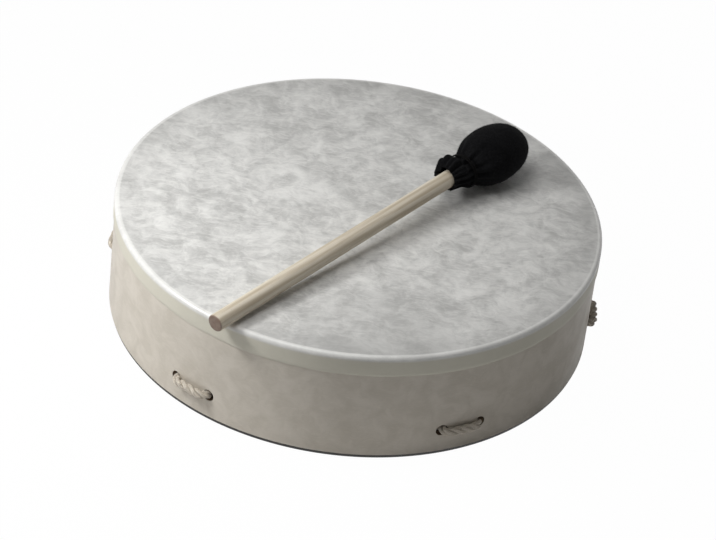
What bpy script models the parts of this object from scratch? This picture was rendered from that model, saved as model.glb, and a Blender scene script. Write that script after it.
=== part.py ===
"""Buffalo drum with its mallet: a shallow frame drum, open at the back, with a hand-tied rope grip.

Metres, +Z up. The drum stands on the open edge of its shell, with the origin at the centre of that
edge, and the wide gap in the rope stitches faces -Y. The mallet lies across the playing surface.
"""

import math

import bmesh
import bpy
from mathutils import Vector

# Drum body
DRUM_DIAMETER = 0.3556
DRUM_DEPTH = 0.0889
SHELL_WALL = 0.0064
HEAD_FILM = 0.0005
HEAD_CORNER = 0.0045
COLLAR_DEPTH = 0.0160
WRAP_FILM = 0.0005
WRAP_MARGIN = 0.0033
WRAP_TUCK = 0.0110
BEARING_CHAMFER = 0.0030
BEARING_ROUND = 0.0030
EDGE_CHAMFER = 0.0010

# Rope grip
ROPE_DIAMETER = 0.0064
STITCH_COUNT = 6
FRONT_GAP = math.radians(65.1)
RIGHT_GAP = math.radians(60.3)
LEFT_GAP = math.radians(63.0)
FRONT = math.radians(-90.0)
HOLE_SPACING = 0.0295
HOLE_HEIGHT = 0.0213
HOLE_SLACK = 0.0026
STITCH_BEND = 0.0050
GRIP_RADIUS = 0.0280
GRIP_THICKNESS = 0.0080
BIND_SETBACK = 0.0160
BIND_OVERLAP = 0.0400
TWINE_DIAMETER = 0.0018
TWINE_LOOPS = 7

# Mallet
STICK_DIAMETER = 0.0127
STICK_LENGTH = 0.3000
STICK_ROUND = 0.0012
CORE_BEYOND_STICK = 0.0210
HEAD_DIAMETER = 0.0430
HEAD_NOSE = 0.0340
NOSE_FULLNESS = 0.83
HEAD_BACK = 0.0303
COVER_CLOTH = 0.0020
NECK_GATHER = 0.0040
SKIRT_LENGTH = 0.0150
SKIRT_FLARE = 0.0045
SKIRT_FLAPS = 6
FLAP_DEPTH = 0.0070
TIE_DIAMETER = 0.0012
TIE_LOOPS = 2
MALLET_AZIMUTH = math.radians(54.4)
MALLET_OFFSET = 0.0335
MALLET_OVERHANG = 0.0162

# Clearances: pieces that touch, neighbouring turns of rope or cord, and the neck beyond its tie
SEAT_GAP = 0.0003
TURN_GAP = 0.0005
TIE_MARGIN = 0.0005

# Facets: round the drum, its grip ring and the mallet, along a loop of cord, and on small curves
DRUM_SEGMENTS = 80
GRIP_SEGMENTS = 40
MALLET_SEGMENTS = 30
LOOP_POINTS = 24
BORE_SEGMENTS = 16
ROUND_POINTS = 4

# Values that follow from the driving dimensions
HEAD_RADIUS = DRUM_DIAMETER / 2
COLLAR_INNER = HEAD_RADIUS - HEAD_FILM
WRAP_OUTER = COLLAR_INNER - SEAT_GAP
WRAP_INNER = WRAP_OUTER - WRAP_FILM
SHELL_OUTER = WRAP_INNER - SEAT_GAP
SHELL_INNER = SHELL_OUTER - SHELL_WALL
SHELL_TOP = DRUM_DEPTH - HEAD_FILM - SEAT_GAP
ROPE_RADIUS = ROPE_DIAMETER / 2
ROPE_PITCH = ROPE_DIAMETER + TURN_GAP
HOLE_DIAMETER = ROPE_DIAMETER + HOLE_SLACK
HALF_STITCH = HOLE_SPACING / 2 / WRAP_OUTER
BACK_STEP = (2 * math.pi - FRONT_GAP - RIGHT_GAP - LEFT_GAP) / (STITCH_COUNT - 3)
INNER_LEG = SHELL_INNER - ROPE_RADIUS
GRIP_REACH = (GRIP_THICKNESS + ROPE_DIAMETER) / 2 + TURN_GAP
TWINE_PITCH = TWINE_DIAMETER + TURN_GAP
TWINE_REACH = (ROPE_DIAMETER + TWINE_DIAMETER) / 2 + SEAT_GAP
STICK_RADIUS = STICK_DIAMETER / 2
HEAD_BELLY = HEAD_DIAMETER / 2
HEAD_CENTRE = STICK_LENGTH + CORE_BEYOND_STICK - HEAD_NOSE
NECK_INNER = STICK_RADIUS + SEAT_GAP
NECK_OUTER = NECK_INNER + COVER_CLOTH + NECK_GATHER
TIE_PITCH = TIE_DIAMETER + TURN_GAP
NECK_LENGTH = TIE_LOOPS * TIE_PITCH + TIE_DIAMETER + 2 * TIE_MARGIN


def clear_scene():
    for obj in list(bpy.data.objects):
        bpy.data.objects.remove(obj, do_unlink=True)


def new_collection(name):
    made = bpy.data.collections.new(name)
    bpy.context.scene.collection.children.link(made)
    return made


def finish(name, colour, roughness, metallic=0.0):
    """A Principled material with one colour."""
    made = bpy.data.materials.new(name)
    made.use_nodes = True
    shader = made.node_tree.nodes["Principled BSDF"]
    shader.inputs["Base Color"].default_value = (*colour, 1.0)
    shader.inputs["Roughness"].default_value = roughness
    shader.inputs["Metallic"].default_value = metallic
    return made


def add_object(name, data, collection, material=None, parent=None):
    obj = bpy.data.objects.new(name, data)
    collection.objects.link(obj)
    if material is not None:
        data.materials.append(material)
    if parent is not None:
        obj.parent = parent
    return obj


def arc(centre, radius, start, end, count=ROUND_POINTS):
    """Points of a circular arc in the plane of a profile, as (radius, height), angles in degrees."""
    angles = [math.radians(start + (end - start) * i / count) for i in range(count + 1)]
    return [(centre[0] + radius * math.cos(a), centre[1] + radius * math.sin(a)) for a in angles]


def turned(name, profile, segments, collection, material, parent=None):
    """A solid turned about the Z axis. The profile is a list of (radius, height) that runs down the
    outer side. It closes on itself, or starts and ends on the axis."""
    mesh = bpy.data.meshes.new(name)
    shape = bmesh.new()
    points = [shape.verts.new((radius, 0.0, height)) for radius, height in profile]
    for first, second in zip(points, points[1:]):
        shape.edges.new((first, second))
    if profile[0][0] > 0.0:
        shape.edges.new((points[-1], points[0]))
    shape.to_mesh(mesh)
    shape.free()
    obj = add_object(name, mesh, collection, material, parent)
    screw = obj.modifiers.new("turn", "SCREW")
    screw.axis = "Z"
    screw.angle = 2 * math.pi
    screw.steps = segments
    screw.render_steps = segments
    screw.use_merge_vertices = True
    screw.merge_threshold = 0.00001
    screw.use_smooth_shade = True
    return obj


def add_tube(name, points, diameter, collection, material, parent=None, resolution=1):
    """A rope or cord along a list of points, with filled ends."""
    print(f"{name}: least gap to itself {1000 * least_gap(points, diameter):.2f} mm")
    curve = bpy.data.curves.new(name, "CURVE")
    curve.dimensions = "3D"
    curve.bevel_depth = diameter / 2
    curve.bevel_resolution = resolution
    curve.use_fill_caps = True
    line = curve.splines.new("POLY")
    line.points.add(len(points) - 1)
    for point, place in zip(line.points, points):
        point.co = (*place, 1.0)
    return add_object(name, curve, collection, material, parent)


def least_gap(points, diameter):
    """The least gap between two turns of one rope, leaving out what lies within two diameters along it."""
    fine = []
    for first, second in zip(points, points[1:]):
        steps = max(1, round((second - first).length / (diameter / 2)))
        fine += [first.lerp(second, i / steps) for i in range(steps)]
    along = [0.0]
    for first, second in zip(fine, fine[1:]):
        along.append(along[-1] + (second - first).length)
    nearest = math.inf
    for i, place in enumerate(fine):
        for j in range(i):
            if along[i] - along[j] > 2 * diameter:
                nearest = min(nearest, (place - fine[j]).length)
    return nearest - diameter


def polar(radius, azimuth, height, drift=0.0):
    """A point at a radius and azimuth, moved sideways by drift along the tangent."""
    c, s = math.cos(azimuth), math.sin(azimuth)
    return Vector((radius * c - drift * s, radius * s + drift * c, height))


# Shell, wrap and head


def shell_profile():
    """Shell wall with a rounded bearing edge outside and a chamfer inside it."""
    top_round = (SHELL_OUTER - BEARING_ROUND, SHELL_TOP - BEARING_ROUND)
    return [
        (SHELL_INNER + BEARING_CHAMFER, SHELL_TOP),
        *reversed(arc(top_round, BEARING_ROUND, 0, 90)),
        (SHELL_OUTER, EDGE_CHAMFER),
        (SHELL_OUTER - EDGE_CHAMFER, 0.0),
        (SHELL_INNER + EDGE_CHAMFER, 0.0),
        (SHELL_INNER, EDGE_CHAMFER),
        (SHELL_INNER, SHELL_TOP - BEARING_CHAMFER),
    ]


def wrap_profile():
    """Thin covering round the shell, from just above its open edge to under the head's collar."""
    wrap_top = DRUM_DEPTH - COLLAR_DEPTH + WRAP_TUCK
    return [
        (WRAP_INNER, wrap_top),
        (WRAP_OUTER, wrap_top),
        (WRAP_OUTER, WRAP_MARGIN),
        (WRAP_INNER, WRAP_MARGIN),
    ]


def head_profile():
    """Film drawn flat across the bearing edge and down the outside of the shell as a collar."""
    centre = (HEAD_RADIUS - HEAD_CORNER, DRUM_DEPTH - HEAD_CORNER)
    collar_foot = DRUM_DEPTH - COLLAR_DEPTH
    return [
        (0.0, DRUM_DEPTH),
        *reversed(arc(centre, HEAD_CORNER, 0, 90)),
        (HEAD_RADIUS, collar_foot),
        (COLLAR_INNER, collar_foot),
        *arc(centre, HEAD_CORNER - HEAD_FILM, 0, 90),
        (0.0, DRUM_DEPTH - HEAD_FILM),
    ]


def stitch_azimuth(index):
    """Stitches run round from the right of the front gap to its left, evenly apart round the back."""
    first = FRONT + FRONT_GAP / 2
    if index == 0:
        return first
    if index == STITCH_COUNT - 1:
        return FRONT - FRONT_GAP / 2 + 2 * math.pi
    return first + RIGHT_GAP + (index - 1) * BACK_STEP


def hole_azimuths():
    middles = [stitch_azimuth(i) for i in range(STITCH_COUNT)]
    return [middle + side * HALF_STITCH for middle in middles for side in (-1, 1)]


def add_hole_cutters(collection):
    """One radial drill through shell and wrap for each rope hole."""
    mesh = bpy.data.meshes.new("rope_holes")
    shape = bmesh.new()
    drill_length = 4 * SHELL_WALL
    middle = (SHELL_INNER + WRAP_OUTER) / 2
    for azimuth in hole_azimuths():
        place = polar(middle, azimuth, HOLE_HEIGHT)
        outward = polar(1.0, azimuth, 0.0)
        turn = outward.to_track_quat("Z", "Y").to_matrix().to_4x4()
        turn.translation = place
        bmesh.ops.create_cone(
            shape,
            cap_ends=True,
            segments=BORE_SEGMENTS,
            radius1=HOLE_DIAMETER / 2,
            radius2=HOLE_DIAMETER / 2,
            depth=drill_length,
            matrix=turn,
        )
    shape.to_mesh(mesh)
    shape.free()
    cutter = add_object("rope_holes", mesh, collection)
    cutter.hide_render = True
    cutter.display_type = "WIRE"
    return cutter


def drill(obj, cutter):
    boolean = obj.modifiers.new("rope_holes", "BOOLEAN")
    boolean.operation = "DIFFERENCE"
    boolean.solver = "EXACT"
    boolean.object = cutter


# Rope grip: a spliced rope ring at the centre, and one rope laced between it and the shell


def ring_profile():
    """Round section of the grip ring, without its repeated last point."""
    section = arc((GRIP_RADIUS, HOLE_HEIGHT), GRIP_THICKNESS / 2, 90, -270, 2 * ROUND_POINTS)
    return section[:-1]


def stitch_points(first, second):
    """Out through the hole at the first azimuth, along the wrap and in through the second hole."""
    outside = WRAP_OUTER + SEAT_GAP + ROPE_RADIUS
    bend_start = outside - STITCH_BEND
    quarter = [math.pi / 2 * i / ROUND_POINTS for i in range(ROUND_POINTS + 1)]
    lean = math.atan2(STITCH_BEND, outside)
    places = [polar(INNER_LEG, first, HOLE_HEIGHT)]
    for angle in quarter:
        drift = STITCH_BEND * (1 - math.cos(angle))
        places.append(polar(bend_start + STITCH_BEND * math.sin(angle), first, HOLE_HEIGHT, drift))
    run = second - first - 2 * lean
    for i in range(1, ROUND_POINTS):
        places.append(polar(outside, first + lean + run * i / ROUND_POINTS, HOLE_HEIGHT))
    for angle in reversed(quarter):
        drift = -STITCH_BEND * (1 - math.cos(angle))
        places.append(polar(bend_start + STITCH_BEND * math.sin(angle), second, HOLE_HEIGHT, drift))
    places.append(polar(INNER_LEG, second, HOLE_HEIGHT))
    return places


def bight_points(before, after):
    """Over the grip ring, round its inside and back under it, between the holes at two azimuths.

    The rope turns as a half helix whose slope is that of the straight runs to the holes, so it
    meets both of them without a kink.
    """
    middle = (before + after) / 2
    spread = (after - before) / 2
    half_turn = math.pi * GRIP_REACH / 2
    slope = INNER_LEG * math.sin(spread) / (INNER_LEG * math.cos(spread) - GRIP_RADIUS + half_turn)
    count = LOOP_POINTS // 2
    places = []
    for i in range(count + 1):
        angle = math.pi * i / count
        radius = GRIP_RADIUS - GRIP_REACH * math.sin(angle)
        height = HOLE_HEIGHT + GRIP_REACH * math.cos(angle)
        places.append(polar(radius, middle, height, half_turn * slope * (2 * i / count - 1)))
    return places


def bind_line():
    """Where the two ends of the lacing lie side by side: a start under the ring, the direction out
    to the first hole, and the direction from the lower rope to the upper."""
    holes = hole_azimuths()
    start = bight_points(holes[-1] - 2 * math.pi, holes[0])[-1]
    along = (polar(INNER_LEG, holes[0], HOLE_HEIGHT) - start).normalized()
    upward = Vector((0.0, 0.0, 1.0))
    upward = (upward - along * along.z).normalized()
    return start, along, upward


def lacing_points():
    """The whole rope: from one bound end, through every stitch and round the ring, to the other."""
    holes = hole_azimuths()
    start, along, upward = bind_line()
    upper = start + upward * ROPE_PITCH
    bind_end = BIND_SETBACK + BIND_OVERLAP
    route = [upper + along * BIND_SETBACK, upper + along * (bind_end + ROPE_DIAMETER)]
    for index in range(STITCH_COUNT):
        first, second = holes[2 * index], holes[2 * index + 1]
        route += stitch_points(first, second)
        if index < STITCH_COUNT - 1:
            route += bight_points(second, holes[2 * index + 2])
    route += bight_points(holes[-1] - 2 * math.pi, holes[0])
    return route + [start + along * bind_end]


def twine_points():
    """Twine wound round both ends of the lacing where they lie side by side."""
    start, along, upward = bind_line()
    aside = along.cross(upward)
    first = BIND_SETBACK + (BIND_OVERLAP - TWINE_LOOPS * TWINE_PITCH) / 2
    half = LOOP_POINTS // 2
    places = []
    for i in range(TWINE_LOOPS * LOOP_POINTS):
        lower, step = divmod(i % LOOP_POINTS, half)
        angle = math.pi * (lower + step / (half - 1))
        middle = start + along * (first + TWINE_PITCH * i / LOOP_POINTS)
        if not lower:
            middle = middle + upward * ROPE_PITCH
        places.append(middle + (aside * math.cos(angle) + upward * math.sin(angle)) * TWINE_REACH)
    slant = along * TWINE_PITCH / LOOP_POINTS
    places.insert(0, places[0] - upward * TWINE_DIAMETER - slant)
    places.append(places[-1] + upward * TWINE_DIAMETER + slant)
    return places


# Mallet, built along its own Z axis from the butt of the stick


def egg(belly, nose, back, from_radius, count):
    """Half outline of the padded head, from its nose on the axis back to a radius at the neck."""
    back_angle = math.acos(from_radius / belly)
    total = math.pi / 2 + back_angle
    outline = []
    for i in range(count + 1):
        angle = math.pi / 2 - total * i / count
        if angle > 0:
            radius = belly * math.cos(angle) ** NOSE_FULLNESS
            outline.append((radius, HEAD_CENTRE + nose * math.sin(angle) ** NOSE_FULLNESS))
        else:
            outline.append((belly * math.cos(angle), HEAD_CENTRE + back * math.sin(angle)))
    outline[0] = (0.0, HEAD_CENTRE + nose)
    return outline


def neck_top(belly, back, from_radius):
    return HEAD_CENTRE - back * math.sin(math.acos(from_radius / belly))


NECK_TOP = neck_top(HEAD_BELLY, HEAD_BACK, NECK_OUTER)
NECK_FOOT = NECK_TOP - NECK_LENGTH
SKIRT_FOOT = NECK_FOOT - SKIRT_LENGTH
EGG_POINTS = 12


def stick_profile():
    top_round = (STICK_RADIUS - STICK_ROUND, STICK_LENGTH - STICK_ROUND)
    foot_round = (STICK_RADIUS - STICK_ROUND, STICK_ROUND)
    return [
        (0.0, STICK_LENGTH),
        *reversed(arc(top_round, STICK_ROUND, 0, 90, 2)),
        *reversed(arc(foot_round, STICK_ROUND, -90, 0, 2)),
        (0.0, 0.0),
    ]


def core_profile():
    """Foam core inside the cover, with a blind bore for the stick."""
    inset = COVER_CLOTH + SEAT_GAP
    bore_radius = STICK_RADIUS + SEAT_GAP
    bore_end = STICK_LENGTH + SEAT_GAP
    mouth = bore_radius + COVER_CLOTH
    outline = egg(HEAD_BELLY - inset, HEAD_NOSE - inset, HEAD_BACK - inset, mouth, EGG_POINTS)
    return outline + [(bore_radius, outline[-1][1]), (bore_radius, bore_end), (0.0, bore_end)]


def cover_profile():
    """Cloth drawn over the core, gathered thick at the neck and full below it as a skirt."""
    outer = egg(HEAD_BELLY, HEAD_NOSE, HEAD_BACK, NECK_OUTER, EGG_POINTS)
    inner = egg(HEAD_BELLY - COVER_CLOTH, HEAD_NOSE - COVER_CLOTH, HEAD_BACK - COVER_CLOTH,
                NECK_INNER, EGG_POINTS)
    widest = (NECK_OUTER + SKIRT_FLARE, NECK_FOOT - SKIRT_LENGTH / 3)
    hem = (NECK_OUTER + SKIRT_FLARE / 3, SKIRT_FOOT)
    skirt_outer = [(NECK_OUTER, NECK_FOOT), widest, hem]
    skirt_inner = [(hem[0] - COVER_CLOTH, hem[1]), (widest[0] - COVER_CLOTH, widest[1]), (NECK_INNER, NECK_FOOT)]
    return outer + skirt_outer + skirt_inner + list(reversed(inner))


def cut_flaps(cover, collection):
    """Gives the skirt its pointed flaps: the cloth between two points is drawn up towards the neck."""
    graph = bpy.context.evaluated_depsgraph_get()
    mesh = bpy.data.meshes.new_from_object(cover.evaluated_get(graph))
    for point in mesh.vertices:
        depth = (NECK_FOOT - point.co.z) / SKIRT_LENGTH
        if depth > 0.0:
            turn = math.atan2(point.co.y, point.co.x) * SKIRT_FLAPS / (2 * math.pi)
            notch = 1 - abs(2 * (turn % 1.0) - 1)
            point.co.z += depth * notch * FLAP_DEPTH
    name, parent = cover.name, cover.parent
    bpy.data.objects.remove(cover, do_unlink=True)
    return add_object(name, mesh, collection, None, parent)


def tie_points():
    """Thin cord wound round the neck of the cover."""
    radius = NECK_OUTER + SEAT_GAP + TIE_DIAMETER / 2
    start = NECK_FOOT + TIE_MARGIN + TIE_DIAMETER / 2
    places = [Vector((radius, -TIE_DIAMETER, start))]
    for i in range(TIE_LOOPS * LOOP_POINTS + 1):
        turns = i / LOOP_POINTS
        angle = 2 * math.pi * turns
        height = start + TIE_PITCH * turns
        places.append(Vector((radius * math.cos(angle), radius * math.sin(angle), height)))
    places.append(places[-1] + Vector((0.0, TIE_DIAMETER, 0.0)))
    return places


def place_mallet(collection):
    """An empty at the butt of the stick, its Z axis up the stick, lying on the rim and on the head."""
    rest_radius = HEAD_RADIUS - HEAD_CORNER
    half_chord = math.sqrt(rest_radius**2 - MALLET_OFFSET**2)
    rise = (HEAD_BELLY - STICK_RADIUS) / (HEAD_CENTRE - MALLET_OVERHANG)
    tilt = math.asin(rise)
    along = Vector((math.cos(MALLET_AZIMUTH), math.sin(MALLET_AZIMUTH), 0.0))
    aside = Vector((along.y, -along.x, 0.0))
    axis = along * math.cos(tilt) + Vector((0.0, 0.0, math.sin(tilt)))
    rim_contact = aside * MALLET_OFFSET - along * half_chord
    height = DRUM_DEPTH + SEAT_GAP + STICK_RADIUS / math.cos(tilt)
    mallet = bpy.data.objects.new("mallet", None)
    collection.objects.link(mallet)
    mallet.location = rim_contact + Vector((0.0, 0.0, height)) - axis * MALLET_OVERHANG
    mallet.rotation_mode = "QUATERNION"
    mallet.rotation_quaternion = axis.to_track_quat("Z", "Y")
    return mallet


def add_drum(parts, cutters):
    fibre = finish("shell_fibre", (0.42, 0.33, 0.24), 0.8)
    film = finish("head_film", (0.72, 0.71, 0.68), 0.55)
    wrap = finish("wrap_film", (0.62, 0.59, 0.53), 0.5)
    rope = finish("rope", (0.74, 0.66, 0.56), 0.85)
    twine = finish("twine", (0.55, 0.45, 0.34), 0.85)
    holes = add_hole_cutters(cutters)
    drill(turned("shell", shell_profile(), DRUM_SEGMENTS, parts, fibre), holes)
    drill(turned("shell_wrap", wrap_profile(), DRUM_SEGMENTS, parts, wrap), holes)
    turned("drumhead", head_profile(), DRUM_SEGMENTS, parts, film)
    turned("grip_ring", ring_profile(), GRIP_SEGMENTS, parts, rope)
    add_tube("rope_lacing", lacing_points(), ROPE_DIAMETER, parts, rope, resolution=2)
    add_tube("lacing_twine", twine_points(), TWINE_DIAMETER, parts, twine)


def add_mallet(parts):
    wood = finish("stick_wood", (0.72, 0.58, 0.42), 0.55)
    foam = finish("core_foam", (0.25, 0.24, 0.23), 0.9)
    cloth = finish("cover_cloth", (0.008, 0.008, 0.009), 0.95)
    mallet = place_mallet(parts)
    turned("mallet_stick", stick_profile(), MALLET_SEGMENTS, parts, wood, mallet)
    turned("mallet_core", core_profile(), MALLET_SEGMENTS, parts, foam, mallet)
    cover = turned("cover_blank", cover_profile(), MALLET_SEGMENTS, parts, cloth, mallet)
    cut_flaps(cover, parts).name = "mallet_cover"
    add_tube("mallet_tie", tie_points(), TIE_DIAMETER, parts, cloth, mallet)


def main():
    clear_scene()
    parts = new_collection("buffalo_drum")
    cutters = new_collection("cutters")
    add_drum(parts, cutters)
    add_mallet(parts)
    bpy.context.view_layer.update()


main()
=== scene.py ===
import math
import random

import bmesh
import bpy
from mathutils import Matrix, Vector, noise


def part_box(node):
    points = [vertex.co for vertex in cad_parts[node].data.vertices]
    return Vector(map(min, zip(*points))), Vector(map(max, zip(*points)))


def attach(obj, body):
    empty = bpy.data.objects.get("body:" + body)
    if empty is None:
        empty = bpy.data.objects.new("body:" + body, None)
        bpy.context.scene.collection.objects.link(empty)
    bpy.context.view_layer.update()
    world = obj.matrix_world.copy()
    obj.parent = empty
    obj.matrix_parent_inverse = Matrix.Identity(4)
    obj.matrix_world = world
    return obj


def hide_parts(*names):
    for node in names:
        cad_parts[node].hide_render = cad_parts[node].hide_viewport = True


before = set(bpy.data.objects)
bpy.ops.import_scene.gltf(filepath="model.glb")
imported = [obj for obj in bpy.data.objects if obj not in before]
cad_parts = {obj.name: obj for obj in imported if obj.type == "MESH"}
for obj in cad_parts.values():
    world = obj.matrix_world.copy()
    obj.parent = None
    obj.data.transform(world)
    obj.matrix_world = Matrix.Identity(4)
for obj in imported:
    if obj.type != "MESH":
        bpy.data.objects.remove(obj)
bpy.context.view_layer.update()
print("frame loaded,", len(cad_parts), "solids")

fullTurn = 2 * math.pi
tiny = 1e-9
merge = 1e-6
crease = 35.0          # edges bent further than this, in degrees, stay sharp
strandCrease = 60.0
noCrease = 180.0
dice = random.Random(14)
noise.seed_set(14)


# node helpers

def feed(tree, node, inputs):
    for key, value in inputs.items():
        if isinstance(value, bpy.types.NodeSocket):
            tree.links.new(value, node.inputs[key])
        else:
            node.inputs[key].default_value = value


def addNode(tree, kind, inputs=None, **settings):
    made = tree.nodes.new(kind)
    for name, value in settings.items():
        setattr(made, name, value)
    feed(tree, made, inputs or {})
    return made


def calc(tree, operation, first, second=0.0):
    return addNode(tree, "ShaderNodeMath", {0: first, 1: second}, operation=operation).outputs[0]


def vectorCalc(tree, operation, inputs):
    return addNode(tree, "ShaderNodeVectorMath", inputs, operation=operation).outputs


# the sum of pairs of a value and its weight
def weigh(tree, *pairs):
    total = None
    for value, weight in pairs:
        part = calc(tree, "MULTIPLY", value, weight)
        total = part if total is None else calc(tree, "ADD", total, part)
    return total


def remap(tree, value, low, high, toLow=0.0, toHigh=1.0):
    inputs = {"Value": value, "From Min": low, "From Max": high, "To Min": toLow, "To Max": toHigh}
    return addNode(tree, "ShaderNodeMapRange", inputs, interpolation_type="SMOOTHSTEP").outputs[0]


def blendTone(tree, factor, first, second):
    return addNode(tree, "ShaderNodeMix", {0: factor, 6: first, 7: second}, data_type="RGBA").outputs[2]


# a tone laid over a colour where its mask is
def stain(tree, colour, mask, share, over):
    return blendTone(tree, calc(tree, "MULTIPLY", mask, share), colour, over)


def mixValue(tree, factor, first, second):
    return addNode(tree, "ShaderNodeMix", {0: factor, 2: first, 3: second}, data_type="FLOAT").outputs[0]


def mixShader(tree, factor, first, second):
    return addNode(tree, "ShaderNodeMixShader", {0: factor, 1: first.outputs[0], 2: second.outputs[0]})


def clouds(tree, vector, scale, detail=4.0, roughness=0.55, distortion=0.0):
    inputs = {"Vector": vector, "Scale": scale, "Detail": detail}
    inputs |= {"Roughness": roughness, "Distortion": distortion}
    return addNode(tree, "ShaderNodeTexNoise", inputs).outputs[0]


def tone(red, green, blue):
    return (red, green, blue, 1.0)


def newMaterial(name, roughness):
    made = bpy.data.materials.new(name)
    made.use_nodes = True
    tree = made.node_tree
    shader = tree.nodes["Principled BSDF"]
    feed(tree, shader, {"Roughness": roughness})
    return made, tree, shader, addNode(tree, "ShaderNodeTexCoord").outputs


def setRelief(tree, shader, height, strength, distance):
    bump = addNode(tree, "ShaderNodeBump", {"Strength": strength, "Distance": distance, "Height": height})
    feed(tree, shader, {"Normal": bump.outputs[0]})


def newGroup(name, inputs, outputs):
    group = bpy.data.node_groups.new(name, "ShaderNodeTree")
    for title, kind in inputs:
        group.interface.new_socket(title, in_out="INPUT", socket_type="NodeSocket" + kind)
    for title in outputs:
        group.interface.new_socket(title, in_out="OUTPUT", socket_type="NodeSocketFloat")
    return group, addNode(group, "NodeGroupInput").outputs, addNode(group, "NodeGroupOutput")


def useGroup(tree, group, inputs):
    return addNode(tree, "ShaderNodeGroup", inputs, node_tree=group).outputs


laid = {
    "driftScale": 38.0,
    "drift": 0.016,
    "angles": (11.0, 47.0, 83.0, 119.0, 155.0),
    "squeeze": (0.17, 1.0, 1.0),    # noise drawn out along one axis makes fibres
}


# long fibres laid every way in a film, over soft patches of thicker and thinner stuff
def makeLaidFibre():
    group, given, result = newGroup(
        "laidFibre",
        [("Vector", "Vector"), ("Patch Scale", "Float"), ("Fibre Scale", "Float")],
        ["Patches", "Fibres"],
    )
    drift = addNode(group, "ShaderNodeTexNoise", {
        "Vector": given["Vector"], "Scale": laid["driftScale"], "Detail": 2.0}).outputs["Color"]
    centred = vectorCalc(group, "SUBTRACT", {0: drift, 1: (0.5, 0.5, 0.5)})[0]
    small = vectorCalc(group, "SCALE", {0: centred, "Scale": laid["drift"]})[0]
    wavy = vectorCalc(group, "ADD", {0: given["Vector"], 1: small})[0]
    patches = clouds(group, wavy, given["Patch Scale"], 6.0, 0.62, 0.5)
    strands = None
    for degrees in laid["angles"]:
        turned = addNode(group, "ShaderNodeMapping", {
            "Vector": wavy,
            "Rotation": (0.0, 0.0, math.radians(degrees)),
            "Location": (degrees, 0.0, 0.0),
            "Scale": laid["squeeze"],
        }).outputs[0]
        layer = remap(group, clouds(group, turned, given["Fibre Scale"], 3.0, 0.5), 0.57, 0.76)
        strands = layer if strands is None else calc(group, "MAXIMUM", strands, layer)
    feed(group, result, {"Patches": patches, "Fibres": strands})
    return group


# yarns twisted round a strand, along its own UV map
def makeYarnTwist():
    group, given, result = newGroup(
        "yarnTwist", [("Around Along", "Vector"), ("Yarns", "Float"), ("Turns", "Float")], ["Ridge"])
    parts = addNode(group, "ShaderNodeSeparateXYZ", {0: given["Around Along"]}).outputs
    phase = weigh(group, (parts[0], given["Yarns"]), (parts[1], given["Turns"]))
    wave = calc(group, "ABSOLUTE", calc(group, "SINE", calc(group, "MULTIPLY", phase, math.pi)))
    feed(group, result, {"Ridge": calc(group, "POWER", wave, 0.7)})
    return group


# marks of handling: wide soft smudges and small specks
def makeHandWear():
    group, given, result = newGroup(
        "handWear", [("Vector", "Vector"), ("Size", "Float")], ["Smudge", "Specks"])
    smudge = remap(group, clouds(group, given["Vector"], given["Size"], 5.0, 0.6, 0.4), 0.45, 0.75)
    fine = calc(group, "MULTIPLY", given["Size"], 30.0)
    specks = remap(group, clouds(group, given["Vector"], fine, 2.0, 0.5), 0.68, 0.76)
    feed(group, result, {"Smudge": smudge, "Specks": specks})
    return group


laidFibre = makeLaidFibre()
yarnTwist = makeYarnTwist()
handWear = makeHandWear()
print("node groups made")


def layFibre(tree, vector, patchScale, fibreScale):
    inputs = {"Vector": vector, "Patch Scale": patchScale, "Fibre Scale": fibreScale}
    return useGroup(tree, laidFibre, inputs)


def twistYarns(tree, coords, yarns, turns):
    return useGroup(tree, yarnTwist, {"Around Along": coords["UV"], "Yarns": yarns, "Turns": turns})["Ridge"]


def addWear(tree, vector, size):
    return useGroup(tree, handWear, {"Vector": vector, "Size": size})


# height on a hoop, and the hoop's face laid out flat
def unroll(tree, place, radius):
    parts = addNode(tree, "ShaderNodeSeparateXYZ", {0: place}).outputs
    turn = calc(tree, "ARCTAN2", parts[0], calc(tree, "MULTIPLY", parts[1], -1.0))
    along = calc(tree, "MULTIPLY", turn, radius)
    return parts[2], addNode(tree, "ShaderNodeCombineXYZ", {0: along, 1: parts[2]}).outputs[0]


# mesh helpers

def linkObject(name, data):
    made = bpy.data.objects.new(name, data)
    bpy.context.scene.collection.objects.link(made)
    return made


def addPiece(name, mesh, material):
    piece = linkObject(name, mesh)
    mesh.materials.clear()
    mesh.materials.append(material)
    return piece


# merging leaves points and faces in another order each run, so they are put in a fixed one
def steadyOrder(shape):
    slant = Vector((0.7317, 1.3719, 2.2361))
    shape.verts.sort(key=lambda point: point.co.dot(slant))
    shape.verts.index_update()
    count = len(shape.verts)

    def rank(item):
        value = 0
        for index in sorted(point.index for point in item.verts)[:3]:
            value = value * count + index
        return value

    shape.edges.sort(key=rank)
    shape.faces.sort(key=rank)


def smoothMesh(mesh, sharp):
    mesh.polygons.foreach_set("use_smooth", [True] * len(mesh.polygons))
    mesh.set_sharp_from_angle(angle=math.radians(sharp))


def shapeToMesh(name, shape, sharp=crease):
    mesh = bpy.data.meshes.new(name)
    steadyOrder(shape)
    shape.to_mesh(mesh)
    shape.free()
    smoothMesh(mesh, sharp)
    return mesh


def bakedMesh(holder):
    return bpy.data.meshes.new_from_object(holder.evaluated_get(bpy.context.evaluated_depsgraph_get()))


def placePiece(piece, body, slotName, *nodes):
    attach(piece, body)
    if nodes:
        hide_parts(*nodes)


def addProfile(shape, profile, closed):
    points = [shape.verts.new((radius, 0.0, height)) for radius, height in profile]
    edges = [shape.edges.new(pair) for pair in zip(points, points[1:])]
    if closed:
        edges.append(shape.edges.new((points[-1], points[0])))
    return points, edges


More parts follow.
